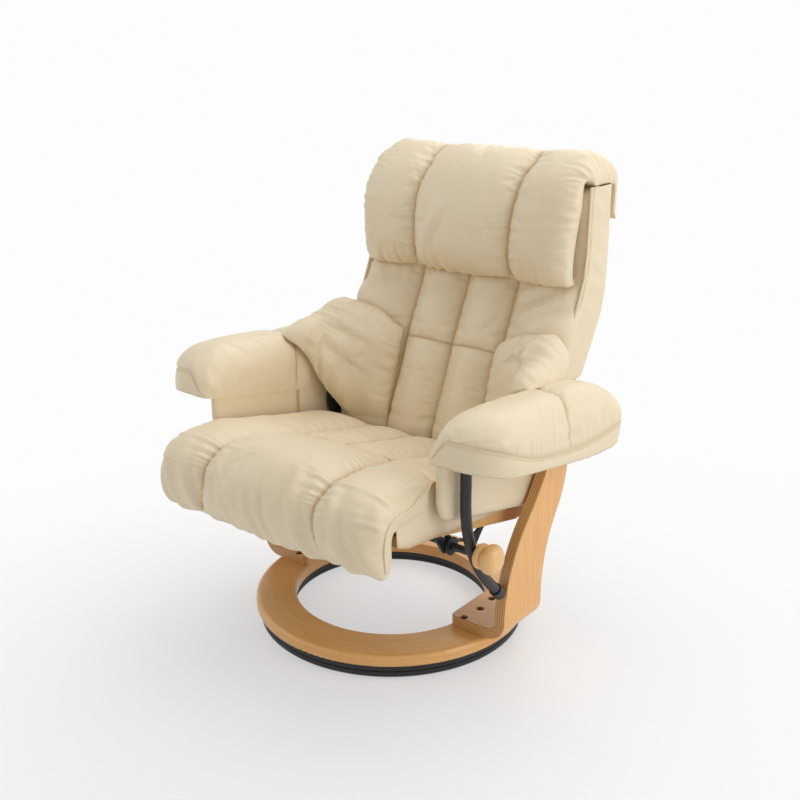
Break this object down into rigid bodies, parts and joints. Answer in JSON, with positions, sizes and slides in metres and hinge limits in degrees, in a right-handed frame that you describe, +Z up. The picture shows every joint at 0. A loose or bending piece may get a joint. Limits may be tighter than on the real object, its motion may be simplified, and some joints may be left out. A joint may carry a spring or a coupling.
{
  "type": "swivel recliner armchair",
  "caption": "Leather swivel recliner: bent beech legs on a turntable ring, curved steel arm tubes with wooden tension knobs, tilting back and gliding seat.",
  "frame": {"origin": "on the floor, on the swivel axis of the turntable", "axes": "+Z up, the sitter faces -Y, +X is the sitter's left"},
  "size_m": [0.9, 0.857, 1.032],
  "materials": {
    "leather": "satin",
    "beech": "satin",
    "knob_beech": "gloss",
    "seat_plywood": "matte",
    "black_steel": "satin",
    "bright_steel": "satin",
    "black_plastic": "matte",
    "cage_plastic": "matte",
    "webbing": "matte",
    "felt": "matte"
  },
  "bodies": {
    "floor_turntable": {"floor_ring": "black_plastic", "floor_pads": "felt"},
    "roller_race": {"roller_cage": "cage_plastic", "rollers": "bright_steel"},
    "chair": {"carrier_ring": "black_plastic", "carrier_screws": "bright_steel", "swivel_clips": "black_steel", "base_ring": "beech", "leg_left": "beech", "leg_right": "beech", "foot_bolts_left": "black_steel", "foot_bolts_right": "black_steel", "arm_tube_left": "black_steel", "arm_tube_right": "black_steel", "tube_collar_left": "black_steel", "tube_collar_right": "black_steel", "arm_board_left": "seat_plywood", "arm_board_right": "seat_plywood", "arm_pad_left": "leather", "arm_pad_right": "leather", "arm_panel_left": "leather", "arm_panel_right": "leather", "pivot_bracket_left": "black_steel", "pivot_bracket_right": "black_steel", "pivot_pin_left": "bright_steel", "pivot_pin_right": "bright_steel", "tension_rod_left": "black_steel", "tension_rod_right": "black_steel", "clamp_discs_left": "black_plastic", "clamp_discs_right": "black_plastic", "clamp_sleeve_left": "black_steel", "clamp_sleeve_right": "black_steel"},
    "back": {"back_frame": "black_steel", "back_panel": "leather", "back_straps": "webbing", "back_cushion": "leather", "head_pillow": "leather", "wing_left": "leather", "wing_right": "leather", "hinge_pin_left": "bright_steel", "hinge_pin_right": "bright_steel"},
    "seat": {"seat_front_rail": "seat_plywood", "seat_rear_rail": "seat_plywood", "seat_straps": "webbing", "seat_cushion": "leather", "seat_rail_left": "seat_plywood", "seat_rail_right": "seat_plywood", "slide_rail_left": "black_steel", "slide_rail_right": "black_steel"},
    "knob_left": {"knob_left": "knob_beech"},
    "knob_right": {"knob_right": "knob_beech"}
  },
  "joints": [
    {"name": "swivel", "type": "hinge", "parent": "floor_turntable", "child": "chair", "pos_m": [0, 0, 0.016], "axis": [0, 0, 1], "continuous": true},
    {"name": "roller_turn", "type": "hinge", "parent": "floor_turntable", "child": "roller_race", "pos_m": [0, 0, 0.016], "axis": [0, 0, 1], "continuous": true},
    {"name": "recline", "type": "hinge", "parent": "chair", "child": "back", "pos_m": [0, 0.13, 0.43], "axis": [-1, 0, 0], "range_deg": [0, 28]},
    {"name": "seat_glide", "type": "hinge", "parent": "back", "child": "seat", "pos_m": [0, 0.165, 0.305], "axis": [-1, 0, 0], "range_deg": [-22.4, 0]},
    {"name": "tension_left", "type": "hinge", "parent": "chair", "child": "knob_left", "pos_m": [0.37, -0.165, 0.307], "axis": [-1, 0, 0], "range_deg": [-360, 45]},
    {"name": "tension_right", "type": "hinge", "parent": "chair", "child": "knob_right", "pos_m": [-0.37, -0.165, 0.307], "axis": [1, 0, 0], "range_deg": [-360, 45]}
  ],
  "couplings": [
    {"joint": "roller_turn", "follows": "swivel", "ratio": 0.5},
    {"joint": "seat_glide", "follows": "recline", "ratio": -0.8}
  ]
}
